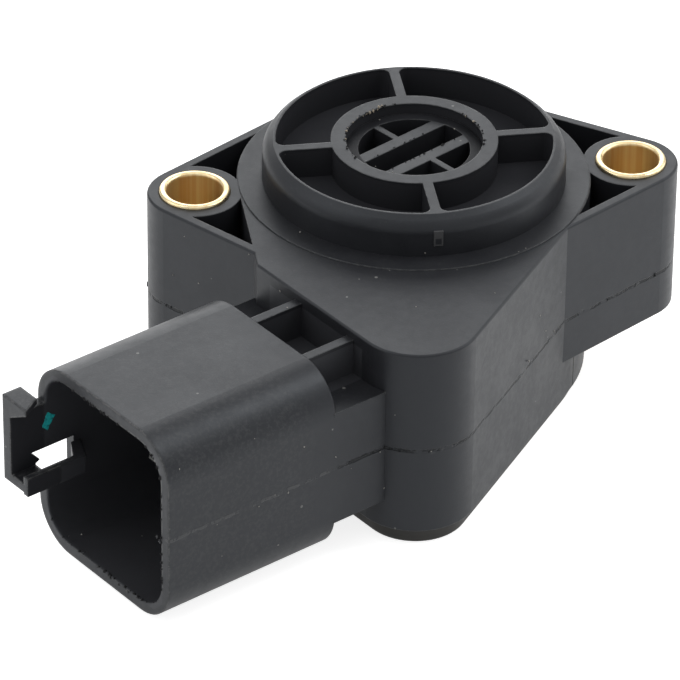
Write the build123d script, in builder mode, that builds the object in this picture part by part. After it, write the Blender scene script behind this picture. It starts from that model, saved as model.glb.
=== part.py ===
# Accelerator pedal sensor: a rotary position sensor with two sleeved mounting ears, a slotted drive
# rotor inside a spoked pilot ring, and a shrouded connector on its side.
# Origin on the rotor axis in the mounting plane, which is the top of the ears and the deck.
# +Z runs along the rotor out of the pilot ring, +X runs along the two mounting holes.

import os
from math import acos, asin, atan2, cos, degrees, radians, sin

from build123d import *

# Mounting ears
hole_spacing = 52.0
ear_r = 5.6
ear_wall = 1.2
ear_height = 18.8
ear_pocket_depth = 15.0
left_ear_slope = 48.5
right_ear_slope = 34.5
sleeve_r = 4.2
sleeve_bore_r = 3.3
sleeve_stand = 0.4
sleeve_round = 0.38

# Body
body_r = 20.9
body_height = 24.1
nose_r = 7.25
nose_x = -4.4
nose_y = -30.9
parting_depth = 13.0
lower_draft = 0.3
wall = 2.6
deck_thickness = 3.0
deck_edge = 0.3
board_ledge = 1.0

# Pilot ring, hub and spokes
disc_r = 20.75
disc_step = 0.15
disc_margin = 0.1
ring_r = 17.9
ring_wall = 1.6
ring_height = 5.1
ring_bevel_run = 1.3
ring_bevel_drop = 1.1
ring_edge = 1.9
ring_pocket_depth = 3.85
hub_r = 9.85
hub_bore_r = 8.05
spoke_width = 1.2
spoke_fillet = 1.0
tab_width = 1.1
tab_height = 2.0
tab_stand = 0.2
tab_base = 1.6

# Connector shroud and neck
connector_angle = 30.0
connector_offset = 15.0
shroud_width = 24.5
shroud_height = 24.5
shroud_corner = 5.5
shroud_wall = 1.4
shroud_front = 56.75
shroud_length = 23.75
shroud_edge = 0.4
cavity_depth = 21.0
neck_height = 15.0
rib_thickness = 1.2
rib_places = (-3.2, 6.3)
rib_drop = 0.3

# Latch frame, on the shroud wall that faces away from the nose
latch_reach = 4.9
latch_step = 2.4
latch_top = 8.8
latch_shoulder = 6.3
latch_bottom = 2.6
flange_back_width = 3.15
flange_front_width = 4.55
flange_tip = 0.7
floor_thickness = 1.1
window_back = 3.85
window_front = 2.15
window_top = 0.3
window_bottom = 3.8
hook_reach = 1.25
hook_drop = 1.3
hook_undercut = 0.6
hook_chin = 0.35
guard_thickness = 0.8
guard_top = 0.45
guard_height = 2.4
guard_back = 3.2
guard_link = 1.2

# Drive rotor
rotor_clearance = 0.06
rotor_sink = 1.3
rotor_rim = 1.4
slot_angle = 34.0
slot_width = 3.1
slot_depth = 4.8
bar_width = 1.6
rotor_rib = 0.8
flange_r = 11.0
rotor_flange = 1.75
barrel_r = 6.0
stub_r = 5.0
pivot_r = 3.0
axial_play = 0.05
washer_thickness = 0.5
seal_section_r = 0.65
seal_depth = 1.6

# Return spring, wiper carrier and wipers
spring_strip = 0.4
spring_width = 3.5
spring_pitch = 1.5
spring_halves = 8
spring_gap = 0.3
post_r = 1.0
carrier_gap = 1.3
carrier_thickness = 3.5
carrier_hub_r = 8.5
carrier_arm = 9.0
clip_r = 5.6
clip_thickness = 0.6
wiper_strip = 0.3
wiper_width = 2.4
wiper_pad = 3.0
wiper_run = 4.5
position_track_inset = 2.0
idle_track_inset = 5.0

# Board, terminals and cover
board_depth = 16.5
board_thickness = 1.2
terminal_width = 1.5
terminal_thickness = 0.8
terminal_pitch = 5.0
terminal_row_gap = 5.2
terminal_reach = 10.5
terminal_tail = 0.8
terminal_bend = 3.0
terminal_chamfer = 0.3
gasket_thickness = 0.35
gasket_inset = 0.3
cover_inset = 1.0
cover_thickness = 1.95
cover_edge = 0.5
tongue_wall = 1.2
socket_wall = 1.8

# Clearances between pieces
fit = 0.03
seat_gap = 0.05
slip = 0.15
running = 0.06


def direction(angle):
    return Vector(cos(radians(angle)), sin(radians(angle)))


# Connector frame: X across the connector, Y up, Z out of its mouth
along = direction(180 + connector_angle)
across = direction(connector_angle - 90)
connector_plane = Plane(
    origin=across * connector_offset - Vector(0, 0, parting_depth), x_dir=across, z_dir=along
)
shroud_back = shroud_front - shroud_length

# Body outline: a round end, a nose, and two flanks that are tangent to the nose
nose_centre = Vector(nose_x, nose_y)
left_flank = nose_centre.dot(along) + nose_r
nose_bearing = degrees(atan2(nose_y, nose_x))
right_flank_normal = direction(nose_bearing + degrees(acos((body_r - nose_r) / nose_centre.length)))
back_slope = degrees(asin((body_r - ear_r) / (hole_spacing / 2)))

# Levels, from the top down
rotor_top = ring_height - rotor_sink
rotor_r = hub_bore_r - rotor_clearance
ceiling = -deck_thickness
flange_top = ceiling - washer_thickness - axial_play
flange_bottom = flange_top - rotor_flange
spring_top = flange_bottom - spring_gap
carrier_top = spring_top - spring_width - spring_gap
carrier_bottom = carrier_top - carrier_thickness
board_top = -board_depth
board_bottom = board_top - board_thickness
rim = -body_height
cover_top = rim - gasket_thickness
pivot_end = cover_top + seat_gap

# Carrier and its tracks, from the round room that they turn in
carrier_r = body_r - wall - board_ledge - carrier_gap
position_track_r = carrier_r - position_track_inset
idle_track_r = carrier_r - idle_track_inset

# Spiral spring: half circles about two centres, growing by one half pitch each
spring_grow = spring_pitch / 2
spring_start_r = barrel_r + slip + spring_strip / 2
spring_end_r = spring_start_r + spring_halves * spring_grow

# Terminals: two rows of three, the upper row bent further in than the lower
terminal_levels = (-parting_depth + terminal_row_gap / 2, -parting_depth - terminal_row_gap / 2)
terminal_columns = (-terminal_pitch, 0.0, terminal_pitch)
chamber_edge = left_flank - wall - board_ledge
terminal_legs = (chamber_edge - 2 * terminal_bend, chamber_edge - terminal_bend)


def body_profile(inset):
    # The body seen from above, with every edge moved inwards
    round_r = body_r - inset
    tip_r = nose_r - inset
    side_end = (left_flank - inset - round_r * cos(radians(connector_angle))) / sin(radians(connector_angle))
    left_end = nose_centre + along * tip_r
    right_end = nose_centre + right_flank_normal * tip_r
    right_start = right_flank_normal * round_r
    tip = nose_centre + (along + right_flank_normal).normalized() * tip_r
    with BuildSketch() as profile:
        with BuildLine():
            Line((-round_r, 0), (-round_r, -side_end))
            Line((-round_r, -side_end), left_end)
            ThreePointArc(left_end, tip, right_end)
            Line(right_end, right_start)
            ThreePointArc(right_start, (0, round_r), (-round_r, 0))
        make_face()
    return profile.sketch


def ear_profile(side, front_slope, inset):
    # One ear: a round end, a back edge tangent to the body, a front edge at its own slope
    centre = Vector(side * hole_spacing / 2, 0)
    end_r = ear_r - inset
    back_normal = direction(90 - side * back_slope)
    front_normal = direction(side * front_slope - 90)
    back_start = back_normal * (body_r - inset)
    back_end = centre + back_normal * end_r
    front_start = centre + front_normal * end_r
    front_end = front_normal * (centre.dot(front_normal) + end_r)
    with BuildSketch() as profile:
        with BuildLine():
            Line(back_start, back_end)
            ThreePointArc(back_end, centre + Vector(side * end_r, 0), front_start)
            Polyline(front_start, front_end, (0, 0), back_start)
        make_face()
    return profile.sketch


def ear_pair(inset):
    return ear_profile(-1, left_ear_slope, inset) + ear_profile(1, right_ear_slope, inset)


def in_connector(distance):
    return connector_plane.offset(distance)


# Connector shroud with its latch frame
with BuildPart() as shroud:
    with BuildSketch(in_connector(shroud_back)):
        RectangleRounded(shroud_width, shroud_height, shroud_corner)
    extrude(amount=shroud_length)
    fillet(shroud.faces().sort_by(Axis((0, 0, 0), along))[0].edges(), radius=shroud_edge)
    # Neck and ribs, down to the body's flank
    with BuildSketch(in_connector(chamber_edge)):
        Rectangle(shroud_width, neck_height)
    extrude(amount=shroud_back - chamber_edge + shroud_edge)
    rib_height = shroud_height / 2 - rib_drop
    with BuildSketch(in_connector(left_flank - wall)):
        for place in rib_places:
            with Locations((place, 0)):
                Rectangle(rib_thickness, rib_height, align=(Align.CENTER, Align.MIN))
    extrude(amount=shroud_back - left_flank + wall + shroud_edge)
    # Latch plate, in the plane of the wall: X along the connector, Y up
    wall_face = -shroud_width / 2
    latch_plane = Plane(
        origin=connector_plane.origin + across * wall_face + along * shroud_front,
        x_dir=along,
        z_dir=across * -1,
    )
    with BuildSketch(latch_plane):
        with BuildLine():
            Polyline(
                (-shroud_wall, latch_shoulder),
                (latch_step, latch_shoulder),
                (latch_step, latch_top),
                (latch_reach, latch_top),
                (latch_reach, -latch_bottom),
                (-shroud_wall, -latch_bottom),
                close=True,
            )
        make_face()
    extrude(amount=-shroud_wall)
    # Upper flange turns inwards from the plate as a wedge, wider at the front
    for place, width in ((latch_step, flange_back_width), (latch_reach, flange_front_width)):
        wedge_plane = Plane(
            origin=latch_plane.from_local_coords((place, 0, 0)), x_dir=across, z_dir=along
        )
        with BuildSketch(wedge_plane):
            with BuildLine():
                Polyline(
                    (0, latch_shoulder),
                    (0, latch_top),
                    (width, latch_top),
                    (width, latch_top - flange_tip),
                    (shroud_wall, latch_shoulder),
                    close=True,
                )
            make_face()
    loft()
    # Mating cavity
    with BuildSketch(in_connector(shroud_front - cavity_depth)):
        RectangleRounded(
            shroud_width - 2 * shroud_wall, shroud_height - 2 * shroud_wall, shroud_corner - shroud_wall
        )
    extrude(amount=cavity_depth, mode=Mode.SUBTRACT)
    # Guard bar beside the window, with a slanted link to the wall behind and a floor to the plate in front
    hook_neck = window_front - hook_reach + hook_undercut
    guard_plane = Plane(
        origin=latch_plane.from_local_coords((0, -guard_top, 0)), x_dir=along, z_dir=(0, 0, 1)
    )
    with BuildSketch(guard_plane):
        with BuildLine():
            Polyline(
                (latch_reach, flange_front_width),
                (-guard_back, flange_front_width),
                (-window_back - guard_link, shroud_wall / 2),
                (-window_back, shroud_wall / 2),
                (guard_link - guard_back, flange_front_width - guard_thickness),
                (latch_reach, flange_front_width - guard_thickness),
                close=True,
            )
        make_face()
    extrude(amount=-guard_height)
    with BuildSketch(latch_plane):
        with Locations((hook_neck, -latch_bottom)):
            Rectangle(latch_reach - hook_neck, floor_thickness, align=(Align.MIN, Align.MIN))
    extrude(amount=-flange_front_width)
    # Window through the wall, with a hook left in its front edge
    with BuildSketch(latch_plane):
        with BuildLine():
            Polyline(
                (-window_back, window_top),
                (window_front, window_top),
                (window_front - hook_reach, window_top - hook_drop),
                (hook_neck, window_top - hook_drop - hook_chin),
                (hook_neck, -window_bottom),
                (-window_back, -window_bottom),
                close=True,
            )
        make_face()
    extrude(amount=-shroud_wall, mode=Mode.SUBTRACT)

# Housing: one moulding with the shroud
with BuildPart() as housing:
    with BuildSketch(Plane.XY.offset(-parting_depth)):
        add(body_profile(0))
    extrude(amount=parting_depth)
    with BuildSketch(Plane.XY.offset(-ear_height)):
        add(ear_pair(0))
    extrude(amount=ear_height)
    fillet(housing.faces().sort_by(Axis.Z)[-1].outer_wire().edges(), radius=deck_edge)
    with BuildSketch(Plane.XY.offset(-parting_depth)):
        add(body_profile(0))
    extrude(amount=-(body_height - parting_depth), taper=lower_draft)
    # Pockets cored out of the ears, beside the sleeve bosses
    with BuildSketch():
        add(ear_pair(ear_wall))
        add(body_profile(body_r - disc_r - disc_margin), mode=Mode.SUBTRACT)
        with GridLocations(hole_spacing, 0, 2, 1):
            Circle(ear_r, mode=Mode.SUBTRACT)
    extrude(amount=-ear_pocket_depth, mode=Mode.SUBTRACT)
    # Raised disc, and the pilot ring on it
    with BuildSketch():
        Circle(disc_r)
    extrude(amount=disc_step)
    with BuildSketch(Plane.XZ):
        with BuildLine():
            Polyline(
                (0, 0),
                (ring_r, 0),
                (ring_r, ring_height - ring_bevel_drop),
                (ring_r - ring_bevel_run, ring_height),
                (0, ring_height),
                close=True,
            )
        make_face()
        fillet(vertices().group_by(Axis.X)[-1].sort_by(Axis.Y)[-1], radius=ring_edge)
    revolve(axis=Axis.Z)
    with BuildSketch(Plane.XY.offset(ring_height)):
        Circle(ring_r - ring_wall)
        Rectangle(2 * ring_r, spoke_width, mode=Mode.SUBTRACT)
        Rectangle(spoke_width, 2 * ring_r, mode=Mode.SUBTRACT)
        Circle(hub_r, mode=Mode.SUBTRACT)
        outer_corners = [v for v in vertices() if Vector(v.X, v.Y).length > (ring_r + hub_r) / 2]
        fillet(outer_corners, radius=spoke_fillet)
    extrude(amount=-ring_pocket_depth, mode=Mode.SUBTRACT)
    # Index tab on the ring's wall, towards the nose
    with Locations((0, -ring_r, tab_base)):
        Box(tab_width, 2 * tab_stand, tab_height, align=(Align.CENTER, Align.CENTER, Align.MIN))
    add(shroud.part)
    # Chamber: a round room above the board ledge, a wider one below it
    with BuildSketch(Plane.XY.offset(ceiling)):
        add(body_profile(wall + board_ledge))
    extrude(amount=board_top - ceiling, mode=Mode.SUBTRACT)
    with BuildSketch(Plane.XY.offset(board_top)):
        add(body_profile(wall))
    extrude(amount=rim - board_top, mode=Mode.SUBTRACT)
    # Rotor bore, sleeve bores and blade slots
    with BuildSketch(Plane.XY.offset(ring_height)):
        Circle(hub_bore_r)
    extrude(amount=ceiling - ring_height, mode=Mode.SUBTRACT)
    with BuildSketch():
        with GridLocations(hole_spacing, 0, 2, 1):
            Circle(sleeve_r + fit)
    extrude(amount=-ear_height, mode=Mode.SUBTRACT)
    with BuildSketch(in_connector(chamber_edge)):
        with GridLocations(terminal_pitch, terminal_row_gap, 3, 2):
            Rectangle(terminal_width, terminal_thickness)
    extrude(amount=shroud_front - cavity_depth - chamber_edge, mode=Mode.SUBTRACT)
    # Post for the outer end of the return spring
    with BuildSketch(Plane.XY.offset(ceiling)):
        with Locations((spring_end_r + spring_strip / 2 + slip + post_r, 0)):
            Circle(post_r)
    extrude(amount=spring_top - spring_width - ceiling)

# Brass sleeves, one in each ear
sleeves = {}
for side, sleeve_name in ((-1, "mounting_sleeve_left"), (1, "mounting_sleeve_right")):
    with BuildPart() as sleeve:
        with BuildSketch(Plane.XY.offset(-ear_height - sleeve_stand)):
            with Locations((side * hole_spacing / 2, 0)):
                Circle(sleeve_r)
                Circle(sleeve_bore_r, mode=Mode.SUBTRACT)
        extrude(amount=ear_height + 2 * sleeve_stand)
        fillet(sleeve.edges().filter_by(GeomType.CIRCLE), radius=sleeve_round)
    sleeves[sleeve_name] = sleeve.part

# Drive rotor: slotted head in the hub, flange under the deck, stub for the carrier, pivot in the cover
with BuildPart() as drive_rotor:
    with BuildSketch(Plane.XY.offset(rotor_top)):
        Circle(rotor_r)
    extrude(amount=flange_bottom - rotor_top)
    with BuildSketch(Plane.XY.offset(flange_top)):
        Circle(flange_r)
    extrude(amount=flange_bottom - flange_top)
    with BuildSketch(Plane.XY.offset(flange_bottom)):
        Circle(barrel_r)
    extrude(amount=carrier_top - flange_bottom)
    with BuildSketch(Plane.XY.offset(carrier_top)):
        Circle(stub_r)
    extrude(amount=carrier_bottom - carrier_top)
    with BuildSketch(Plane.XY.offset(carrier_bottom)):
        Circle(pivot_r)
    extrude(amount=pivot_end - carrier_bottom)
    with BuildSketch(Plane.XY.offset(rotor_top)):
        Circle(rotor_r - rotor_rim)
        bar_offset = (slot_width + bar_width) / 2
        for side in (-1, 1):
            with Locations(direction(slot_angle + 90) * (side * bar_offset)):
                Rectangle(2 * rotor_r, bar_width, rotation=slot_angle, mode=Mode.SUBTRACT)
            with Locations(direction(slot_angle + 90) * (side * (rotor_r + bar_offset) / 2)):
                Rectangle(rotor_rib, rotor_r - bar_offset, rotation=slot_angle, mode=Mode.SUBTRACT)
    extrude(amount=-slot_depth, mode=Mode.SUBTRACT)
    # Groove of the rotor seal, under the slot's floor
    seal_level = rotor_top - slot_depth - seal_depth + seal_section_r
    with BuildSketch(Plane.XY.offset(seal_level - seal_section_r - fit)):
        Circle(rotor_r)
        Circle(rotor_r - 2 * seal_section_r - fit, mode=Mode.SUBTRACT)
    extrude(amount=2 * (seal_section_r + fit), mode=Mode.SUBTRACT)

with BuildPart() as rotor_seal:
    with BuildSketch(Plane.XZ):
        with Locations((rotor_r - seal_section_r, seal_level)):
            Circle(seal_section_r)
    revolve(axis=Axis.Z)

with BuildPart() as thrust_washer:
    with BuildSketch(Plane.XY.offset(ceiling)):
        Circle(flange_r)
        Circle(hub_bore_r + slip, mode=Mode.SUBTRACT)
    extrude(amount=-washer_thickness)

# Flat spiral return spring, from the rotor's barrel to the post
with BuildPart() as return_spring:
    with BuildSketch(Plane.XY.offset(spring_top)):
        with BuildLine():
            for half_strip in (-spring_strip / 2, spring_strip / 2):
                for half in range(spring_halves):
                    turn = 1 if half % 2 == 0 else -1
                    middle = 0 if half % 2 == 0 else spring_grow
                    arc_r = spring_start_r + half * spring_grow + half_strip
                    ThreePointArc(
                        (middle + turn * arc_r, 0), (middle, turn * arc_r), (middle - turn * arc_r, 0)
                    )
            Line((spring_start_r - spring_strip / 2, 0), (spring_start_r + spring_strip / 2, 0))
            Line((spring_end_r - spring_strip / 2, 0), (spring_end_r + spring_strip / 2, 0))
        make_face()
    extrude(amount=-spring_width)

# Wiper carrier on the stub, held by a push-on clip
with BuildPart() as wiper_carrier:
    with BuildSketch(Plane.XY.offset(carrier_top)):
        Circle(carrier_r)
        Rectangle(carrier_arm, 2 * carrier_r, mode=Mode.INTERSECT)
        Circle(carrier_hub_r)
        Circle(stub_r + fit, mode=Mode.SUBTRACT)
    extrude(amount=-carrier_thickness)

with BuildPart() as carrier_clip:
    with BuildSketch(Plane.XY.offset(carrier_bottom)):
        Circle(clip_r)
        Circle(pivot_r + fit, mode=Mode.SUBTRACT)
    extrude(amount=-clip_thickness)

# Spring wipers: a pad under a carrier arm, then a strip that runs down to its track
wipers = {}
for side, track_r, wiper_name in ((-1, position_track_r, "position_wiper"), (1, idle_track_r, "idle_wiper")):
    wiper_plane = Plane(origin=(0, side * track_r, carrier_bottom), x_dir=(1, 0, 0), z_dir=(0, -1, 0))
    wiper_drop = carrier_bottom - board_top - slip
    with BuildPart() as wiper:
        with BuildSketch(wiper_plane):
            with BuildLine():
                Polyline(
                    (-wiper_pad, 0),
                    (0, 0),
                    (wiper_run, wiper_strip - wiper_drop),
                    (wiper_run + wiper_strip, wiper_strip - wiper_drop),
                    (wiper_run + wiper_strip, -wiper_drop),
                    (wiper_run - wiper_strip / 2, -wiper_drop),
                    (-wiper_strip / 2, -wiper_strip),
                    (-wiper_pad, -wiper_strip),
                    close=True,
                )
            make_face()
        extrude(amount=wiper_width / 2, both=True)
    wipers[wiper_name] = wiper.part

# Resistor board under the ledge, with a hole for the pivot and a slot for each blade
with BuildPart() as resistor_board:
    with BuildSketch(Plane.XY.offset(board_top)):
        add(body_profile(wall + slip))
        Circle(pivot_r + socket_wall, mode=Mode.SUBTRACT)
    extrude(amount=-board_thickness)
    leg_plane = Plane(origin=(0, 0, board_top), x_dir=across, z_dir=(0, 0, 1))
    with BuildSketch(leg_plane):
        for leg in terminal_legs:
            for column in terminal_columns:
                with Locations((connector_offset + column, -leg)):
                    Rectangle(terminal_width + 2 * slip, terminal_thickness + 2 * slip)
    extrude(amount=-board_thickness, mode=Mode.SUBTRACT)

# Terminals: a blade in the connector, through the neck, then a leg down through the board
terminals = []
for level, leg in zip(terminal_levels, terminal_legs):
    for column in terminal_columns:
        blade_plane = Plane(
            origin=across * (connector_offset + column), x_dir=along, z_dir=across * -1
        )
        half = terminal_thickness / 2
        with BuildPart() as terminal:
            with BuildSketch(blade_plane):
                with BuildLine():
                    Polyline(
                        (shroud_front - terminal_reach, level + half),
                        (leg - half, level + half),
                        (leg - half, board_bottom - terminal_tail),
                        (leg + half, board_bottom - terminal_tail),
                        (leg + half, level - half),
                        (shroud_front - terminal_reach, level - half),
                        close=True,
                    )
                make_face()
            extrude(amount=terminal_width / 2, both=True)
            tip_face = terminal.faces().sort_by(Axis((0, 0, 0), along))[-1]
            chamfer(tip_face.edges(), length=terminal_chamfer)
        terminals.append(terminal.part)

# Gasket in the seam, and the cover with the tongue that holds the board and the rotor's lower bearing
with BuildPart() as cover_gasket:
    with BuildSketch(Plane.XY.offset(rim)):
        add(body_profile(cover_inset + gasket_inset))
        add(body_profile(wall), mode=Mode.SUBTRACT)
    extrude(amount=-gasket_thickness)

with BuildPart() as bottom_cover:
    with BuildSketch(Plane.XY.offset(cover_top)):
        add(body_profile(cover_inset))
    extrude(amount=-cover_thickness)
    fillet(bottom_cover.faces().sort_by(Axis.Z)[0].edges(), radius=cover_edge)
    with BuildSketch(Plane.XY.offset(cover_top)):
        add(body_profile(wall + slip))
        add(body_profile(wall + slip + tongue_wall), mode=Mode.SUBTRACT)
        Circle(pivot_r + socket_wall)
    extrude(amount=board_bottom - seat_gap - cover_top)
    with BuildSketch(Plane.XY.offset(cover_top)):
        Circle(pivot_r + running)
    extrude(amount=board_bottom - cover_top, mode=Mode.SUBTRACT)

pieces = {
    "housing": housing.part,
    "drive_rotor": drive_rotor.part,
    "rotor_seal": rotor_seal.part,
    "thrust_washer": thrust_washer.part,
    "return_spring": return_spring.part,
    "wiper_carrier": wiper_carrier.part,
    "carrier_clip": carrier_clip.part,
    "resistor_board": resistor_board.part,
    "cover_gasket": cover_gasket.part,
    "bottom_cover": bottom_cover.part,
}
pieces.update(sleeves)
pieces.update(wipers)
for number, blade in enumerate(terminals, start=1):
    pieces[f"terminal_{number}"] = blade

os.makedirs("parts", exist_ok=True)
for name, piece in pieces.items():
    piece.label = name
    export_step(piece, f"parts/{name}.step")
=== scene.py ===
import math
import random

import bpy
from mathutils import Matrix, Vector


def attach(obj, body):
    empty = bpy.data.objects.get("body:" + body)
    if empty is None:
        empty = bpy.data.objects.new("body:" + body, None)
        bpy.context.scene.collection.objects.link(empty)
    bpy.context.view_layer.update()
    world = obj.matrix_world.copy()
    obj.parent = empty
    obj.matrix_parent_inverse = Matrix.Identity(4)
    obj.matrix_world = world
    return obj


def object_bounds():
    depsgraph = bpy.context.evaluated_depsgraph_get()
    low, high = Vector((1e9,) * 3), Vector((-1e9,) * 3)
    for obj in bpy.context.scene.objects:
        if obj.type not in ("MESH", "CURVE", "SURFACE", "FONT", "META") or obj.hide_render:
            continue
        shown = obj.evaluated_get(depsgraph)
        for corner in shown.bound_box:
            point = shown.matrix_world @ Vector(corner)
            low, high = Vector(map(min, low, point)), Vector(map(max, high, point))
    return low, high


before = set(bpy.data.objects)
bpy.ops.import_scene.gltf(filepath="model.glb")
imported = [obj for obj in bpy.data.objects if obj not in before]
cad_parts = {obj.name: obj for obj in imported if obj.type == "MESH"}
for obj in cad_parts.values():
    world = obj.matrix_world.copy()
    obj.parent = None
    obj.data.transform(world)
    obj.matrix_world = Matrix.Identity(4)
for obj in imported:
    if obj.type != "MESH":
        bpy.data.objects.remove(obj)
cadLow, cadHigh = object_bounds()
mm = 0.001
random.seed(11)
print("frame loaded with", len(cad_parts), "nodes")

# the connector's own directions, seen from above, and the middle of its mouth in mm
outOfMouth = Vector((-math.cos(math.radians(30)), -0.5, 0))
acrossMouth = Vector((0.5, -math.cos(math.radians(30)), 0))
mouthMiddle = 15.0
mouthLevel = -13.0

photoView = {
    "place": (-98.790, -584.559, 367.104),  # mm
    "right": (0.9891895, -0.1463314, 0.0095536),
    "up": (0.0725937, 0.5452513, 0.8351235),
    "back": (-0.1274139, -0.8254018, 0.5499796),
    "lens": 313.35,
    "sensor": 36,
}


def setCamera(look):
    bpy.ops.object.camera_add()
    camera = bpy.context.object
    camera.name = "photoCamera"
    camera.data.lens = look["lens"]
    camera.data.sensor_width = look["sensor"]
    turn = Matrix((look["right"], look["up"], look["back"])).transposed()
    camera.matrix_world = Matrix.Translation(Vector(look["place"]) * mm) @ turn.to_4x4()
    bpy.context.scene.camera = camera


setCamera(photoView)
print("camera set")

edgeSampling = {"samples": 6, "cornerLimits": (0.97, 0.72)}


# small helpers for node trees
def newFinish(name):
    finish = bpy.data.materials.new(name)
    finish.use_nodes = True
    tree = finish.node_tree
    return finish, tree, tree.nodes["Principled BSDF"]


def feed(tree, socket, value):
    if isinstance(value, bpy.types.NodeSocket):
        tree.links.new(value, socket)
    else:
        socket.default_value = value


def calc(tree, operation, first, second=None, third=None):
    node = tree.nodes.new("ShaderNodeMath")
    node.operation = operation
    for socket, value in zip(node.inputs, (first, second, third)):
        if value is not None:
            feed(tree, socket, value)
    return node.outputs[0]


def times(tree, first, *others):
    for other in others:
        first = calc(tree, "MULTIPLY", first, other)
    return first


def larger(tree, first, second):
    return calc(tree, "MAXIMUM", first, second)


def without(tree, value):
    return calc(tree, "SUBTRACT", 1.0, value)


# how far a value is from a level, to either side
def distance(tree, value, level):
    return calc(tree, "ABSOLUTE", calc(tree, "SUBTRACT", value, level))


def ramp(tree, value, low, high, start=0.0, end=1.0):
    node = tree.nodes.new("ShaderNodeMapRange")
    node.interpolation_type = "SMOOTHSTEP"
    for name, setting in zip(("From Min", "From Max", "To Min", "To Max"), (low, high, start, end)):
        node.inputs[name].default_value = setting
    feed(tree, node.inputs["Value"], value)
    return node.outputs["Result"]


def blendColour(tree, amount, first, second):
    node = tree.nodes.new("ShaderNodeMix")
    node.data_type = "RGBA"
    feed(tree, node.inputs[0], amount)
    for socket, value in ((node.inputs[6], first), (node.inputs[7], second)):
        feed(tree, socket, value if isinstance(value, bpy.types.NodeSocket) else (*value, 1))
    return node.outputs[2]


def blendVector(tree, amount, first, second):
    node = tree.nodes.new("ShaderNodeMix")
    node.data_type = "VECTOR"
    for socket, value in ((node.inputs[0], amount), (node.inputs[4], first), (node.inputs[5], second)):
        feed(tree, socket, value)
    return node.outputs[1]


def noise(tree, place, scale, detail=2.0, roughness=0.5):
    node = tree.nodes.new("ShaderNodeTexNoise")
    feed(tree, node.inputs["Vector"], place)
    node.inputs["Scale"].default_value = scale
    node.inputs["Detail"].default_value = detail
    node.inputs["Roughness"].default_value = roughness
    return node.outputs["Fac"]


# noise with its contrast set by limits
def pattern(tree, place, look):
    return ramp(tree, noise(tree, place, *look["noise"]), *look["limits"])


def objectPlace(tree):
    return tree.nodes.new("ShaderNodeTexCoord").outputs["Object"]


def splitPlace(tree, place):
    node = tree.nodes.new("ShaderNodeSeparateXYZ")
    feed(tree, node.inputs[0], place)
    return node.outputs


def softEdge(tree, radius):
    node = tree.nodes.new("ShaderNodeBevel")
    node.samples = edgeSampling["samples"]
    node.inputs["Radius"].default_value = radius
    return node.outputs[0]


# one on outer corners, nought on flats and in inner corners
def cornerMask(tree, reach):
    node = tree.nodes.new("ShaderNodeAmbientOcclusion")
    node.inside = True
    node.only_local = True
    node.samples = edgeSampling["samples"]
    node.inputs["Distance"].default_value = reach
    return ramp(tree, node.outputs["AO"], *edgeSampling["cornerLimits"])


def bumped(tree, shader, height, normal=None):
    node = tree.nodes.new("ShaderNodeBump")
    node.inputs["Strength"].default_value = 1.0
    node.inputs["Distance"].default_value = 1.0
    feed(tree, node.inputs["Height"], height)
    if normal is not None:
        feed(tree, node.inputs["Normal"], normal)
    tree.links.new(node.outputs[0], shader.inputs["Normal"])


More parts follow.
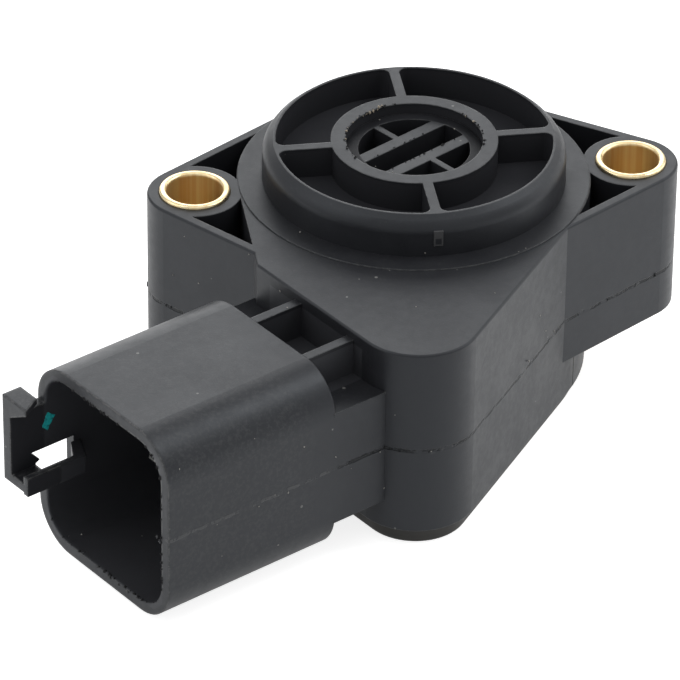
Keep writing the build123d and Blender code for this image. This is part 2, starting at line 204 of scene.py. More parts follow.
# lengths called "along" lie on the way out of the mouth, from the rotor's axis
housingLook = {
    "colour": (0.0145, 0.0149, 0.0176),
    "paleColour": (0.0175, 0.0180, 0.0206),
    # painted light: a paler colour for the shaded walls inside the mouth, the pockets and the ring
    "paintedInsideLight": (0.0340, 0.0347, 0.0390),
    # painted highlight on the raised parting-line thread
    "threadHighlightColour": (0.048, 0.048, 0.049),
    "grooveColour": (0.002, 0.002, 0.002),
    # painted highlight on the index tab's borders and upper half
    "tabHighlightColour": (0.066, 0.066, 0.068),
    # pale colour of rubbed edges, partly wear and partly a painted highlight; also used for handling marks and
    # scuffs
    "wearAndHighlightColour": (0.085, 0.085, 0.084),
    # painted highlight along the rounded edge of the mouth's rim
    "mouthHighlightColour": (0.150, 0.150, 0.146),
    "dustColour": (0.20, 0.20, 0.19),
    "roughness": (0.39, 0.48),
    "gloss": 0.395,
    "shroudGloss": 0.44,
    "wornGloss": 0.36,
    "glossAlong": (30 * mm, 34 * mm),
    "glossTint": (0.88, 0.94, 1.0),
    "grainScale": 5200,
    "grainHeight": 0.009 * mm,
    "edgeRadius": 0.22 * mm,
    "mouthEdge": 0.50 * mm,
    "cornerReach": 1.6,
    "edgeTurn": (0.995, 0.80),
    "seamLevel": mouthLevel * mm,
    "seamWidth": 0.28 * mm,
    "seamFull": 0.14 * mm,
    "seamDepth": 0.16 * mm,
    "seamWander": 0.45 * mm,
    "seamUpright": (0.5, 0.2),
    "seamDull": 0.22,
    "threadAlong": (31 * mm, 35 * mm),
    "threadRise": 0.3,
    "scuffReach": 0.65 * mm,
    "mouth": {"front": 56.75 * mm, "back": 34 * mm, "middle": mouthMiddle * mm, "half": 10.85 * mm,
              "margin": 0.05 * mm, "diagonal": 1.86, "roundFrom": 0.9 * mm, "roundTo": 0.5 * mm},
    "latch": {"blend": 0.6 * mm, "inward": 0.7, "shade": 0.68, "topFacing": (0.3, 0.8, 0.12, 1.0)},
    "pocket": {"from": 20 * mm, "to": 33.2 * mm, "half": 8.5 * mm, "level": -5.5 * mm, "tall": 4.0 * mm},
    "ring": {"within": 16.45 * mm, "top": 4.75 * mm, "gloss": 0.03},
    "wear": {"shroud": 0.22, "latch": 0.34, "along": (33 * mm, 40 * mm)},
    "tab": {"out": 17.95 * mm, "half": 0.55 * mm, "middle": 2.6 * mm, "tall": 1.0 * mm, "margin": 1.02,
            "sides": (0.5, 0.8), "ends": (0.7, 0.85), "upper": (-0.1, 0.1)},
    "core": {"angle": -31.6, "width": 0.20 * mm, "top": -18.8 * mm, "beyond": 10 * mm, "dull": 0.6},
    "specks": 0.10,
    "speckScale": 520,
    "speckChoice": (0.80, 1.0),
    "speckCover": 0.7,
    "filmFacing": (0.2, 0.9, 0.02, 0.10),
    "mottle": (170, 4.0, 0.6),
    "mottleLimits": (0.35, 0.7),
    "grain": (3.0, 0.6),
    "cloud": (950, 4.0, 0.7),
    "cloudLimits": (0.36, 0.64),
    "wander": (520, 3.0, 0.65),
    "rubAndHighlight": {"noise": (1300, 4.0, 0.7), "limits": (0.38, 0.64, 0.2, 1.0)},
    "film": {"noise": (2600, 5.0, 0.75), "limits": (0.52, 0.82)},
    "marks": {"noise": (1900, 5.0, 0.75), "limits": (0.44, 0.64)},
    "patches": {"noise": (560, 4.0, 0.75), "limits": (0.44, 0.55, 0.08, 1.0)},
    "scuffs": {"noise": (900, 5.0, 0.75), "limits": (0.55, 0.68, 0.0, 0.7)},
}
rotorLook = dict(housingLook, colour=(0.0120, 0.0123, 0.0142), seamDepth=0.0, specks=0.11, gloss=0.46)
rotorLook["rim"] = {"from": 6.5 * mm, "blend": 0.2 * mm, "gloss": 0.10}
coverLook = dict(housingLook, colour=(0.0200, 0.0196, 0.0184), seamDepth=0.0, specks=0.08,
                 glossTint=(1.0, 0.98, 0.94))


def along(tree, parts, direction):
    return calc(tree, "ADD", times(tree, parts["X"], direction.x), times(tree, parts["Y"], direction.y))


def fromAxis(tree, parts, centreX=0.0):
    aside = calc(tree, "POWER", calc(tree, "SUBTRACT", parts["X"], centreX), 2.0)
    return calc(tree, "SQRT", calc(tree, "ADD", aside, calc(tree, "POWER", parts["Y"], 2.0)))


# one on the walls inside the connector's shroud, and in the pockets between the neck's ribs
def insideMouth(tree, parts, alongMouth, look):
    mouth, pocket = look["mouth"], look["pocket"]
    acrossAway = distance(tree, along(tree, parts, acrossMouth), mouth["middle"])
    heightAway = distance(tree, parts["Z"], look["seamLevel"])
    farther = larger(tree, acrossAway, heightAway)
    within = calc(tree, "LESS_THAN", farther, mouth["half"] + mouth["margin"])
    # keeps the shroud's own outer rounding out
    diagonal = calc(tree, "ADD", acrossAway, heightAway)
    within = times(tree, within, calc(tree, "LESS_THAN", diagonal, mouth["diagonal"] * mouth["half"]))
    inShroud = times(tree, within, calc(tree, "GREATER_THAN", alongMouth, mouth["back"]))
    betweenRibs = calc(tree, "LESS_THAN", acrossAway, pocket["half"])
    betweenRibs = times(tree, betweenRibs, calc(tree, "GREATER_THAN", alongMouth, pocket["from"]))
    sunk = calc(tree, "LESS_THAN", distance(tree, parts["Z"], pocket["level"]), pocket["tall"])
    sunk = times(tree, calc(tree, "LESS_THAN", alongMouth, pocket["to"]), sunk)
    return larger(tree, inShroud, times(tree, betweenRibs, sunk))


# one in the pockets of the pilot ring and in the hub's bore
def insideRing(tree, parts, ring):
    below = calc(tree, "LESS_THAN", parts["Z"], ring["top"])
    return times(tree, calc(tree, "LESS_THAN", fromAxis(tree, parts), ring["within"]), below)


# one along the borders of the index tab on the ring, and on its upper half, where a painted highlight goes
def tabBorder(tree, parts, tab):
    half, tall = tab["half"], tab["tall"]
    aside = calc(tree, "ABSOLUTE", parts["X"])
    level = calc(tree, "SUBTRACT", parts["Z"], tab["middle"])
    upright = calc(tree, "ABSOLUTE", level)
    sides = ramp(tree, aside, *[share * half for share in tab["sides"]])
    ends = ramp(tree, upright, *[share * tall for share in tab["ends"]])
    upper = ramp(tree, level, *[share * tall for share in tab["upper"]])
    border = larger(tree, larger(tree, sides, ends), upper)
    onTab = calc(tree, "LESS_THAN", aside, tab["margin"] * half)
    onTab = times(tree, onTab, calc(tree, "LESS_THAN", upright, tab["margin"] * tall))
    onTab = times(tree, onTab, calc(tree, "LESS_THAN", parts["Y"], -tab["out"]))
    return times(tree, border, onTab)


# thin upright line that the mould's side core left on the lower body
def coreLine(tree, parts, core):
    angle = math.radians(core["angle"])
    forward, aside = times(tree, parts["Y"], math.cos(angle)), times(tree, parts["X"], math.sin(angle))
    across = calc(tree, "ABSOLUTE", calc(tree, "SUBTRACT", forward, aside))
    line = ramp(tree, across, core["width"], 0.5 * core["width"])
    below = calc(tree, "LESS_THAN", parts["Z"], core["top"])
    outward = calc(tree, "GREATER_THAN", parts["X"], core["beyond"])
    return times(tree, line, times(tree, below, outward))


# dust: a thin film and single specks, more of the film on faces that look up
def dustCover(tree, place, facing, look):
    cells = tree.nodes.new("ShaderNodeTexVoronoi")
    feed(tree, cells.inputs["Vector"], place)
    cells.inputs["Scale"].default_value = look["speckScale"]
    chosen = splitPlace(tree, cells.outputs["Color"])["X"]
    speckSize = times(tree, ramp(tree, chosen, *look["speckChoice"]), look["specks"])
    speck = calc(tree, "LESS_THAN", cells.outputs["Distance"], speckSize)
    film = times(tree, pattern(tree, place, look["film"]), ramp(tree, facing, *look["filmFacing"]))
    return larger(tree, times(tree, speck, look["speckCover"]), film)


# masks for the shaded walls of the mouth, the latch frame and the ring, which take painted light
def shadeMasks(tree, surface, look):
    front, latch = look["mouth"]["front"], look["latch"]
    inside = insideMouth(tree, surface["parts"], surface["along"], look)
    inRing = insideRing(tree, surface["parts"], look["ring"])
    onLatch = ramp(tree, surface["along"], front, front + latch["blend"])
    # of the latch frame only the wall that looks into the mouth counts as inside
    inward = along(tree, splitPlace(tree, surface["normal"]), acrossMouth)
    inward = calc(tree, "GREATER_THAN", inward, latch["inward"])
    innerLatch = times(tree, onLatch, inside, inward)
    inside = larger(tree, times(tree, inside, without(tree, onLatch)), innerLatch)
    return {"inside": inside, "inRing": inRing, "onLatch": onLatch, "innerLatch": innerLatch}


# painted light on the inner walls, a painted highlight on the tab's borders and upper half, and the marks of
# handling on the shroud
def shroudColour(tree, surface, masks, colour, look):
    onLatch, wear = masks["onLatch"], look["wear"]
    # painted light: the shaded walls inside the mouth, the rib pockets and the ring get a paler colour, less of
    # it on the latch and in the ring
    share = ramp(tree, larger(tree, onLatch, masks["inRing"]), 0.0, 1.0, 1.0, look["latch"]["shade"])
    shaded = times(tree, larger(tree, masks["inside"], masks["inRing"]), share)
    colour = blendColour(tree, shaded, colour, look["paintedInsideLight"])
    # painted highlight on the tab's borders and upper half
    colour = blendColour(tree, tabBorder(tree, surface["parts"], look["tab"]), colour, look["tabHighlightColour"])
    handled = ramp(tree, surface["along"], *wear["along"], 0.0, wear["shroud"])
    wornLatch = times(tree, onLatch, ramp(tree, surface["facing"], *look["latch"]["topFacing"]))
    handled = larger(tree, handled, times(tree, wornLatch, wear["latch"]))
    handled = times(tree, handled, without(tree, masks["inside"]))
    marks = pattern(tree, surface["place"], look["marks"])
    return blendColour(tree, times(tree, handled, marks), colour, look["wearAndHighlightColour"])


def shroudGloss(tree, surface, masks, look):
    gloss = ramp(tree, surface["along"], *look["glossAlong"], look["gloss"], look["shroudGloss"])
    worn = times(tree, masks["onLatch"], look["shroudGloss"] - look["wornGloss"])
    gloss = times(tree, calc(tree, "SUBTRACT", gloss, worn), without(tree, masks["innerLatch"]))
    return calc(tree, "MINIMUM", gloss, ramp(tree, masks["inRing"], 0.0, 1.0, 1.0, look["ring"]["gloss"]))


# parting line: an uneven line, and the scuffs along it
def partingLine(tree, surface, masks, look):
    place = surface["place"]
    wander = calc(tree, "SUBTRACT", noise(tree, place, *look["wander"]), 0.5)
    level = calc(tree, "SUBTRACT", surface["parts"]["Z"], look["seamLevel"])
    away = calc(tree, "ABSOLUTE", calc(tree, "ADD", level, times(tree, wander, look["seamWander"])))
    upright = ramp(tree, calc(tree, "ABSOLUTE", surface["facing"]), *look["seamUpright"])
    upright = times(tree, upright, without(tree, masks["inside"]))
    line = ramp(tree, away, look["seamWidth"], look["seamFull"])
    seam = times(tree, line, pattern(tree, place, look["patches"]), upright)
    nearby = ramp(tree, away, look["scuffReach"], 0.0)
    return seam, times(tree, nearby, pattern(tree, place, look["scuffs"]), upright)


def plasticFinish(name, look):
    finish, tree, shader = newFinish(name)
    place = objectPlace(tree)
    edgeNormal = softEdge(tree, look["edgeRadius"])
    corner = cornerMask(tree, look["cornerReach"] * look["edgeRadius"])
    atMouth = 0.0
    if look["seamDepth"]:
        # the mouth and its latch frame have rounder edges
        mouth = look["mouth"]
        parts = splitPlace(tree, place)
        alongMouth = along(tree, parts, outOfMouth)
        atMouth = ramp(tree, alongMouth, mouth["front"] - mouth["roundFrom"], mouth["front"] - mouth["roundTo"])
        edgeNormal = blendVector(tree, atMouth, edgeNormal, softEdge(tree, look["mouthEdge"]))
        mouthCorner = cornerMask(tree, look["cornerReach"] * look["mouthEdge"])
        corner = larger(tree, corner, times(tree, atMouth, mouthCorner))
    geometry = tree.nodes.new("ShaderNodeNewGeometry")
    normal = geometry.outputs["Normal"]
    facing = splitPlace(tree, normal)["Z"]
    mottle = noise(tree, place, *look["mottle"])
    grain = noise(tree, place, look["grainScale"], *look["grain"])
    colour = blendColour(tree, ramp(tree, mottle, *look["mottleLimits"]), look["colour"], look["paleColour"])
    # rubbed edges with a painted highlight on them, paler where the corner is broken
    turn = tree.nodes.new("ShaderNodeVectorMath")
    turn.operation = "DOT_PRODUCT"
    tree.links.new(edgeNormal, turn.inputs[0])
    tree.links.new(geometry.outputs["True Normal"], turn.inputs[1])
    broken = ramp(tree, turn.outputs["Value"], *look["edgeTurn"])
    rubAndHighlight = times(tree, broken, pattern(tree, place, look["rubAndHighlight"]), corner)
    # at the mouth's rim the edge takes a brighter painted highlight
    rubHighlightColour = blendColour(tree, atMouth, look["wearAndHighlightColour"], look["mouthHighlightColour"])
    colour = blendColour(tree, rubAndHighlight, colour, rubHighlightColour)
    colour = blendColour(tree, dustCover(tree, place, facing, look), colour, look["dustColour"])
    height = times(tree, grain, look["grainHeight"])
    gloss = look["gloss"]
    if "rim" in look:
        rim = look["rim"]
        outward = fromAxis(tree, splitPlace(tree, place))
        gloss = ramp(tree, outward, rim["from"], rim["from"] + rim["blend"], gloss, rim["gloss"])
    if look["seamDepth"]:
        surface = {"place": place, "parts": parts, "along": alongMouth, "normal": normal, "facing": facing}
        masks = shadeMasks(tree, surface, look)
        colour = shroudColour(tree, surface, masks, colour, look)
        gloss = shroudGloss(tree, surface, masks, look)
        seam, scuffs = partingLine(tree, surface, masks, look)
        colour = blendColour(tree, scuffs, colour, look["wearAndHighlightColour"])
        # it is a raised thread on the shroud, painted paler as a highlight, and a dark groove elsewhere
        thread = ramp(tree, alongMouth, *look["threadAlong"])
        seamColour = blendColour(tree, thread, look["grooveColour"], look["threadHighlightColour"])
        colour = blendColour(tree, seam, colour, seamColour)
        core = coreLine(tree, parts, look["core"])
        colour = blendColour(tree, core, colour, look["grooveColour"])
        depth = look["seamDepth"]
        rise = times(tree, seam, ramp(tree, thread, 0.0, 1.0, -depth, look["threadRise"] * depth))
        height = calc(tree, "MULTIPLY_ADD", core, -depth, calc(tree, "ADD", height, rise))
        groove = times(tree, seam, ramp(tree, thread, 0.0, 1.0, look["seamDull"], 0.0))
        groove = larger(tree, groove, times(tree, core, look["core"]["dull"]))
        gloss = times(tree, gloss, without(tree, groove))
    feed(tree, shader.inputs["Base Color"], colour)
    cloud = calc(tree, "MULTIPLY_ADD", noise(tree, place, *look["cloud"]), 0.5, times(tree, mottle, 0.5))
    feed(tree, shader.inputs["Roughness"], ramp(tree, cloud, *look["cloudLimits"], *look["roughness"]))
    feed(tree, shader.inputs["Specular IOR Level"], gloss)
    shader.inputs["Specular Tint"].default_value = (*look["glossTint"], 1)
    bumped(tree, shader, height, blendVector(tree, corner, normal, edgeNormal))
    return finish


brassLook = {
    "colour": (0.93, 0.79, 0.50),
    "dullColour": (0.86, 0.66, 0.36),
    "boreColour": (0.94, 0.80, 0.50),
    # streaks in the bore, painted a deeper orange as the warm reflection of the bore's own walls
    "boreStreakReflection": (0.84, 0.61, 0.32),
    "roughness": (0.20, 0.38),
    "roughLimits": (0.3, 0.7),
    "boreRoughness": 0.42,
    "boreEdge": 3.3 * mm,
    "boreBlend": (0.2 * mm, 0.05 * mm),
    "lines": (9000, 2.0),
    "lineHeight": 0.0035 * mm,
    "blotch": (420, 3.0, 0.6),
    "blotchLimits": (0.42, 0.75),
    "streak": {"noise": (1100, 4.0, 0.65), "limits": (0.38, 0.66)},
    "streakWear": 0.8,
    "edgeRadius": 0.12 * mm,
}


def turnedBrass(name, look, centreX):
    finish, tree, shader = newFinish(name)
    shader.inputs["Metallic"].default_value = 1.0
    parts = splitPlace(tree, objectPlace(tree))
    radius = fromAxis(tree, parts, centreX)
    # lines of the turning tool run round the axis
    onTool = tree.nodes.new("ShaderNodeCombineXYZ")
    feed(tree, onTool.inputs[0], radius)
    feed(tree, onTool.inputs[2], parts["Z"])
    lines = noise(tree, onTool.outputs[0], *look["lines"])
    blotch = noise(tree, objectPlace(tree), *look["blotch"])
    # streaks run straight down the bore
    onEnd = tree.nodes.new("ShaderNodeCombineXYZ")
    feed(tree, onEnd.inputs[0], parts["X"])
    feed(tree, onEnd.inputs[1], parts["Y"])
    streak = pattern(tree, onEnd.outputs[0], look["streak"])
    worn = larger(tree, ramp(tree, blotch, *look["blotchLimits"]), times(tree, streak, look["streakWear"]))
    inBore = ramp(tree, radius, *[look["boreEdge"] + blend for blend in look["boreBlend"]])
    endColour = blendColour(tree, worn, look["colour"], look["dullColour"])
    # inside the bore the streaks take a deeper orange, a painted reflection of the bore's walls
    boreColour = blendColour(tree, streak, look["boreColour"], look["boreStreakReflection"])
    feed(tree, shader.inputs["Base Color"], blendColour(tree, inBore, endColour, boreColour))
    shine = ramp(tree, blotch, *look["roughLimits"], *look["roughness"])
    shine = larger(tree, shine, times(tree, inBore, look["boreRoughness"]))
    feed(tree, shader.inputs["Roughness"], shine)
    bumped(tree, shader, times(tree, lines, look["lineHeight"]), softEdge(tree, look["edgeRadius"]))
    return finish


# what the smaller metal, rubber and plastic pieces share
smallLook = {
    "noise": (3.0, 0.6),
    "roughLimits": (0.3, 0.7),
    "metalLimits": (0.35, 0.75),
    "metalDull": 0.72,
    "metalHeight": 0.002 * mm,
    "metalEdge": 0.08 * mm,
    "innerLimits": (0.40, 0.68),
    "innerHeight": 0.004 * mm,
}
metalLooks = {
    "springSteel": {"colour": (0.50, 0.50, 0.52), "roughness": (0.22, 0.40), "scale": 2400},
    "contactBrass": {"colour": (0.80, 0.62, 0.32), "roughness": (0.20, 0.38), "scale": 2000},
    "terminalTin": {"colour": (0.70, 0.70, 0.68), "roughness": (0.25, 0.45), "scale": 1800},
}


def plainMetal(name, look):
    finish, tree, shader = newFinish(name)
    shader.inputs["Metallic"].default_value = 1.0
    cloud = noise(tree, objectPlace(tree), look["scale"], *smallLook["noise"])
    dull = tuple(smallLook["metalDull"] * part for part in look["colour"])
    colour = blendColour(tree, ramp(tree, cloud, *smallLook["metalLimits"]), look["colour"], dull)
    feed(tree, shader.inputs["Base Color"], colour)
    feed(tree, shader.inputs["Roughness"], ramp(tree, cloud, *smallLook["roughLimits"], *look["roughness"]))
    bumped(tree, shader, times(tree, cloud, smallLook["metalHeight"]), softEdge(tree, smallLook["metalEdge"]))
    return finish


innerLooks = {
    "sealRubber": {"colour": (0.016, 0.016, 0.016), "second": (0.028, 0.028, 0.028),
                   "roughness": (0.62, 0.80), "scale": 900},
    "washerPlastic": {"colour": (0.74, 0.72, 0.66), "second": (0.62, 0.60, 0.54),
                      "roughness": (0.40, 0.55), "scale": 500},
    "boardLaminate": {"colour": (0.040, 0.170, 0.085), "second": (0.016, 0.060, 0.034),
                      "roughness": (0.30, 0.45), "scale": 700},
}


def innerFinish(name, look):
    finish, tree, shader = newFinish(name)
    cloud = noise(tree, objectPlace(tree), look["scale"], *smallLook["noise"])
    colour = blendColour(tree, ramp(tree, cloud, *smallLook["innerLimits"]), look["colour"], look["second"])
    feed(tree, shader.inputs["Base Color"], colour)
    feed(tree, shader.inputs["Roughness"], ramp(tree, cloud, *smallLook["roughLimits"], *look["roughness"]))
    bumped(tree, shader, times(tree, cloud, smallLook["innerHeight"]))
    return finish


def dress(finish, *nodeNames):
    for nodeName in nodeNames:
        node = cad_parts[nodeName]
        if node.material_slots:
            for place in node.material_slots:
                place.material = finish
        else:
            node.data.materials.append(finish)


housingPlastic = plasticFinish("housingPlastic", housingLook)
dress(housingPlastic, "housing")
dress(plasticFinish("coverPlastic", coverLook), "bottom_cover")
dress(plasticFinish("rotorPlastic", rotorLook), "drive_rotor")
dress(turnedBrass("leftSleeveBrass", brassLook, -26 * mm), "mounting_sleeve_left")
dress(turnedBrass("rightSleeveBrass", brassLook, 26 * mm), "mounting_sleeve_right")
dress(plainMetal("springSteel", metalLooks["springSteel"]), "return_spring", "carrier_clip")
dress(plainMetal("contactBrass", metalLooks["contactBrass"]), "position_wiper", "idle_wiper")
terminalTin = plainMetal("terminalTin", metalLooks["terminalTin"])
dress(terminalTin, *[f"terminal_{number}" for number in range(1, 7)])
dress(innerFinish("sealRubber", innerLooks["sealRubber"]), "cover_gasket", "rotor_seal")
dress(innerFinish("washerPlastic", innerLooks["washerPlastic"]), "thrust_washer", "wiper_carrier")
dress(innerFinish("boardLaminate", innerLooks["boardLaminate"]), "resistor_board")
print("CAD nodes dressed")

stageLook = {
    "floorColour": 0.80,
    "floorRoughness": 0.9,
    "floorGlow": {"direct": 0.80, "front": 0.22, "back": 0.58, "from": -75 * mm, "to": -15 * mm},
    "floorSize": 3.0,
    "ambient": 0.55,
    "mirrored": 0.55,
    "lamps": {
        "backSoftbox": {"place": (0.05, 0.90, 0.36), "size": 0.8, "power": 4.0},
        "topSoftbox": {"place": (-0.05, -0.10, 0.80), "size": 0.8, "power": 1.1},
        "leftSoftbox": {"place": (-0.75, -0.05, 0.62), "size": 0.8, "power": 1.9},
        "rightSoftbox": {"place": (0.80, 0.20, 0.40), "size": 0.8, "power": 2.1},
        "cornerSoftbox": {"place": (0.55, 0.03, 0.73), "size": 0.35, "power": 1.65},
    },
}


# how bright a pale background is to the camera, and to glossy and clear surfaces
def paleGlow(tree, direct, mirrored):
    rays = tree.nodes.new("ShaderNodeLightPath").outputs
    bounced = times(tree, larger(tree, rays["Is Glossy Ray"], rays["Is Transmission Ray"]), mirrored)
    return calc(tree, "MULTIPLY_ADD", rays["Is Camera Ray"], direct, bounced)


def buildFloor(look):
    bpy.ops.mesh.primitive_plane_add(size=look["floorSize"], location=(0, 0, cadLow.z))
    floor = bpy.context.object
    floor.name = "studioFloor"
    finish, tree, shader = newFinish("paleFloor")
    shader.inputs["Base Color"].default_value = (look["floorColour"],) * 3 + (1,)
    shader.inputs["Roughness"].default_value = look["floorRoughness"]
    shader.inputs["Specular IOR Level"].default_value = 0.0
    shader.inputs["Emission Color"].default_value = (1, 1, 1, 1)
    glow = look["floorGlow"]
    depth = splitPlace(tree, objectPlace(tree))["Y"]
    mirrored = ramp(tree, depth, glow["from"], glow["to"], glow["front"], glow["back"])
    feed(tree, shader.inputs["Emission Strength"], paleGlow(tree, glow["direct"], mirrored))
    floor.data.materials.append(finish)


def lightStage(look):
    world = bpy.data.worlds.new("studioWorld")
    bpy.context.scene.world = world
    world.use_nodes = True
    tree = world.node_tree
    background = tree.nodes["Background"]
    background.inputs["Color"].default_value = (1, 1, 1, 1)
    strength = larger(tree, paleGlow(tree, 1.0, look["mirrored"]), look["ambient"])
    feed(tree, background.inputs["Strength"], strength)
    for lampName, lamp in look["lamps"].items():
        bpy.ops.object.light_add(type="AREA", location=lamp["place"])
        light = bpy.context.object
        light.name = lampName
        light.data.size = lamp["size"]
        light.data.energy = lamp["power"]
        light.rotation_euler = (-Vector(lamp["place"])).to_track_quat("-Z", "Y").to_euler()
        light.visible_camera = False
    bpy.context.scene.view_settings.view_transform = "Standard"


buildFloor(stageLook)
lightStage(stageLook)
print("stage lit")


# a finished piece: its place goes into its mesh, then it rides on a body
def settle(piece, name, finish, body):
    bpy.ops.object.select_all(action="DESELECT")
    piece.select_set(True)
    bpy.context.view_layer.objects.active = piece
    bpy.ops.object.transform_apply(location=True, rotation=True, scale=True)
    piece.name = name
    piece.data.name = name
    piece.data.materials.clear()
    piece.data.materials.append(finish)
    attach(piece, body)


def joinPieces(pieces):
    bpy.ops.object.select_all(action="DESELECT")
    for piece in pieces:
        piece.select_set(True)
    bpy.context.view_layer.objects.active = pieces[0]
    if len(pieces) > 1:
        bpy.ops.object.join()
    return bpy.context.object


# shares of a crumb's size, turns in radians per seed
gritShape = {
    "ragged": 0.45,
    "uniform": 0.2,
    "normal": 0.4,
    "turns": (0.7, 1.3, 2.1),
    "flatness": (1.0, 0.75, 0.55),
}


def grit(place, size, seed):
    bpy.ops.object.select_all(action="DESELECT")
    bpy.ops.mesh.primitive_ico_sphere_add(subdivisions=2, radius=size * mm, location=Vector(place) * mm)
    crumb = bpy.context.object
    bpy.ops.object.mode_set(mode="EDIT")
    bpy.ops.mesh.select_all(action="SELECT")
    bpy.ops.transform.vertex_random(offset=gritShape["ragged"] * size * mm, uniform=gritShape["uniform"],
                                    normal=gritShape["normal"], seed=seed)
    bpy.ops.object.mode_set(mode="OBJECT")
    crumb.rotation_euler = [seed * turn for turn in gritShape["turns"]]
    crumb.scale = gritShape["flatness"]
    bpy.ops.object.transform_apply(location=True, rotation=True, scale=True)
    bpy.ops.object.shade_smooth()
    return crumb


# one piece of crumbs at given places, each of a random size
def scatter(name, look, finish, body):
    crumbs = [
        grit(place, random.uniform(*look["size"]), look["seed"] + index)
        for index, place in enumerate(look["places"])
    ]
    settle(joinPieces(crumbs), name, finish, body)


fluffLooks = {
    "paleGrit": {"colour": (0.42, 0.41, 0.38), "second": (0.26, 0.25, 0.23)},
    "brownFluff": {"colour": (0.13, 0.10, 0.07), "second": (0.42, 0.37, 0.30)},
    "darkShred": {"colour": (0.004, 0.004, 0.005), "second": (0.012, 0.012, 0.013)},
}
fluffPattern = {"noise": (6000, 3.0, 0.7), "limits": (0.35, 0.65)}
fluffRoughness = 0.9


def fluffFinish(name, look):
    finish, tree, shader = newFinish(name)
    cloud = pattern(tree, objectPlace(tree), fluffPattern)
    feed(tree, shader.inputs["Base Color"], blendColour(tree, cloud, look["colour"], look["second"]))
    shader.inputs["Roughness"].default_value = fluffRoughness
    return finish


paleGrit = fluffFinish("paleGrit", fluffLooks["paleGrit"])
brownFluff = fluffFinish("brownFluff", fluffLooks["brownFluff"])
darkShred = fluffFinish("darkShred", fluffLooks["darkShred"])

# places and sizes of the loose bits are in mm
dustSpecks = {
    "places": [
        (-27.98, -6.21, -2.22), (-29.20, -4.84, -8.32), (-26.51, -7.87, -7.79), (-21.40, -13.65, -0.55),
        (-15.09, -11.02, 0.35), (-4.17, -28.00, 0.00), (5.23, -26.30, 0.00), (-8.93, -36.62, -18.69),
        (-0.11, -36.31, -22.79), (-1.51, -17.78, 0.60), (-22.61, -44.52, -12.95), (-22.21, -44.28, -20.03),
        (-29.11, -48.27, -18.08), (-36.61, -35.12, -23.85), (-19.06, -42.47, -8.13), (-7.91, -37.24, -8.30),
        (10.16, -22.58, -12.20), (-18.75, -20.55, -1.37), (-15.11, -40.19, -11.39), (-9.49, -36.94, -13.44),
        (-29.70, -48.61, -13.49), (-13.15, -39.06, -13.92), (-43.42, -33.98, -23.81), (-3.81, -38.13, -13.07),
        (10.31, -17.64, 0.15), (9.37, -18.23, 0.15), (-25.06, -45.55, -4.37), (-34.13, -50.68, -4.14),
        (-24.60, -45.67, -13.53), (-20.98, -43.58, -13.42), (-18.46, -24.64, -1.05), (11.82, -19.84, -7.82),
        (12.84, -18.33, -11.03), (14.22, -16.29, -12.48),
    ],
    "size": (0.06, 0.14),
    "seed": 1,
}
scatter("dustSpecks", dustSpecks, paleGrit, "housing")

hubCrumbs = {
    "places": [
        (-2.62, 7.86, 5.10), (-3.25, 7.37, 4.98), (-3.05, 7.62, 5.08), (-3.83, 7.08, 4.95), (-4.27, 6.82, 4.90),
        (-4.70, 6.55, 4.95), (-5.16, 6.18, 4.90), (-5.92, 5.55, 5.05), (-6.60, 4.70, 5.05), (-7.40, 3.45, 5.08),
        (-7.65, 2.80, 5.08), (-8.00, 1.07, 5.08), (7.55, 2.95, 5.06), (6.85, 4.30, 5.06),
    ],
    "size": (0.09, 0.24),
    "seed": 31,
}
scatter("hubCrumbs", hubCrumbs, brownFluff, "housing")

# shreds of plastic left on the mouth's rim and along the parting line
mouldBurrs = {
    "places": [
        (-36.35, -50.54, -13.80), (-36.62, -50.30, -13.30), (-45.02, -35.52, -22.78), (-42.31, -40.22, -23.98),
        (-41.12, -42.28, -24.05), (-40.26, -43.76, -24.12), (-39.41, -45.23, -24.14), (-46.66, -32.68, -22.30),
        (-43.59, -38.00, -23.38), (-31.52, 0.82, -12.90), (-31.50, 1.00, -13.25), (-29.95, -3.99, -13.10),
        (-29.43, -4.58, -12.95), (21.94, -9.59, -13.05), (28.45, -5.11, -13.00),
    ],
    "size": (0.13, 0.27),
    "seed": 91,
}
scatter("mouldBurrs", mouldBurrs, housingPlastic, "housing")

# ragged edges: small shreds along the mouth's inner edge, its rim, the hub's bore and the drive slot
edgeShreds = {
    "mouth": {"count": 90, "half": 10.85, "corner": 4.1, "share": (-0.36, 0.36), "front": 56.72,
              "size": (0.08, 0.24)},
    "bore": {"count": 60, "radius": 8.16, "spans": ((96, 205), (96, 205), (-22, 38)), "stray": (-0.08, 0.06),
             "top": 5.08, "sag": 0.12, "size": (0.08, 0.24)},
    "rim": {"count": 22, "half": 12.18, "corner": 5.45, "share": (-0.10, 0.17), "front": (56.45, 56.72),
            "size": (0.04, 0.09)},
    "slot": {"count": 26, "angle": 34.0, "half": 1.66, "reach": 6.0, "top": 3.8, "size": (0.07, 0.17)},
}
firstShredSeed = 201


# a point on a square with round corners, by its share of the way round
def roundSquare(share, half, corner):
    turn = 2 * math.pi * share
    reach = half / max(abs(math.cos(turn)), abs(math.sin(turn)))
    side, height = reach * math.cos(turn), reach * math.sin(turn)
    flat = half - corner
    if abs(side) > flat and abs(height) > flat:
        bend = math.atan2(abs(height) - flat, abs(side) - flat)
        side = math.copysign(flat + corner * math.cos(bend), side)
        height = math.copysign(flat + corner * math.sin(bend), height)
    return side, height


def mouthPlace(front, side, height):
    place = outOfMouth * front + acrossMouth * (mouthMiddle + side)
    return (place.x, place.y, height + mouthLevel)


def mouthShred(look):
    side, height = roundSquare(random.uniform(*look["share"]), look["half"], look["corner"])
    return mouthPlace(look["front"], side, height)


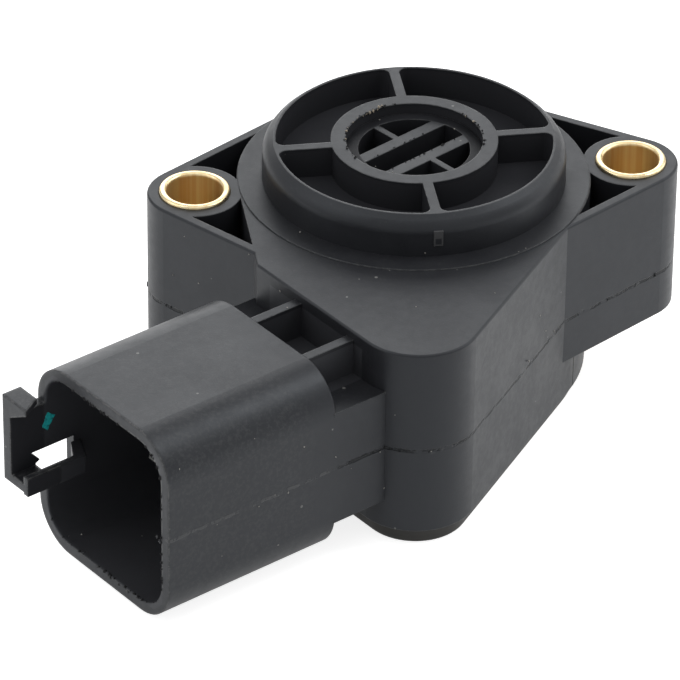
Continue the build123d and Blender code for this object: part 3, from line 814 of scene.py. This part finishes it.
def rimFleck(look):
    side, height = roundSquare(random.uniform(*look["share"]), look["half"], look["corner"])
    return mouthPlace(random.uniform(*look["front"]), side, height)


def boreShred(look):
    turn = math.radians(random.uniform(*random.choice(look["spans"])))
    radius = look["radius"] + random.uniform(*look["stray"])
    return (radius * math.cos(turn), radius * math.sin(turn), look["top"] - abs(random.gauss(0, look["sag"])))


def slotShred(look):
    turn = math.radians(look["angle"])
    forward = random.uniform(-look["reach"], look["reach"])
    aside = random.choice((-1, 1)) * look["half"]
    across = forward * math.cos(turn) - aside * math.sin(turn)
    return (across, forward * math.sin(turn) + aside * math.cos(turn), look["top"])


for part, pick, body, finish, slotName in (
    ("mouth", mouthShred, "housing", darkShred, "housing_plastic"),
    ("rim", rimFleck, "housing", paleGrit, "housing_plastic"),
    ("bore", boreShred, "housing", darkShred, "housing_plastic"),
    ("slot", slotShred, "rotor", darkShred, "rotor_plastic"),
):
    look = edgeShreds[part]
    shreds = [
        grit(pick(look), random.uniform(*look["size"]), firstShredSeed + index)
        for index in range(look["count"])
    ]
    settle(joinPieces(shreds), part + "Shreds", finish, body)

rotorCrumbs = {
    "places": [(-3.05, 6.85, 3.85), (5.41, 3.76, 3.76), (-4.83, -1.39, 2.55), (-3.36, -5.01, 3.82)],
    "size": (0.09, 0.14),
    "seed": 61,
}
scatter("rotorCrumbs", rotorCrumbs, paleGrit, "rotor")
print("dust and crumbs placed")

paintMark = {
    "corners": [(57.25, -9.70), (56.50, -10.50), (55.50, -8.75), (56.60, -8.05)],  # along the mouth, height
    "order": (0, 1, 3, 2),  # the plane's own corner order
    "wall": 4.15,
    "thickness": 0.03,
    "cuts": 7,
    "ragged": 0.17,
    "seed": 3,
    "colour": (0.015, 0.42, 0.42),
    "second": (0.005, 0.15, 0.16),
    "streak": {"noise": (2500, 2.0), "limits": (0.35, 0.7)},
    "roughness": 0.45,
}


def brushMark(look):
    onWall = look["wall"] + 0.5 * look["thickness"]
    bpy.ops.object.select_all(action="DESELECT")
    bpy.ops.mesh.primitive_plane_add(size=1)
    mark = bpy.context.object
    for vertex, index in zip(mark.data.vertices, look["order"]):
        outward, height = look["corners"][index]
        vertex.co = (outOfMouth * outward + acrossMouth * onWall) * mm
        vertex.co.z = height * mm
    bpy.ops.object.mode_set(mode="EDIT")
    bpy.ops.mesh.select_all(action="SELECT")
    bpy.ops.mesh.subdivide(number_cuts=look["cuts"])
    bpy.ops.transform.vertex_random(offset=look["ragged"] * mm, uniform=0.0, normal=0.0, seed=look["seed"])
    bpy.ops.mesh.normals_make_consistent(inside=False)
    bpy.ops.object.mode_set(mode="OBJECT")
    for vertex in mark.data.vertices:  # back onto the wall
        vertex.co += acrossMouth * (onWall * mm - vertex.co.dot(acrossMouth))
    bpy.ops.object.modifier_add(type="SOLIDIFY")
    mark.modifiers["Solidify"].thickness = look["thickness"] * mm
    mark.modifiers["Solidify"].offset = 0.0
    bpy.ops.object.modifier_apply(modifier="Solidify")
    finish, tree, shader = newFinish("tealPaint")
    streak = pattern(tree, objectPlace(tree), look["streak"])
    feed(tree, shader.inputs["Base Color"], blendColour(tree, streak, look["colour"], look["second"]))
    shader.inputs["Roughness"].default_value = look["roughness"]
    settle(mark, "paintMark", finish, "housing")


brushMark(paintMark)
print("paint mark placed")
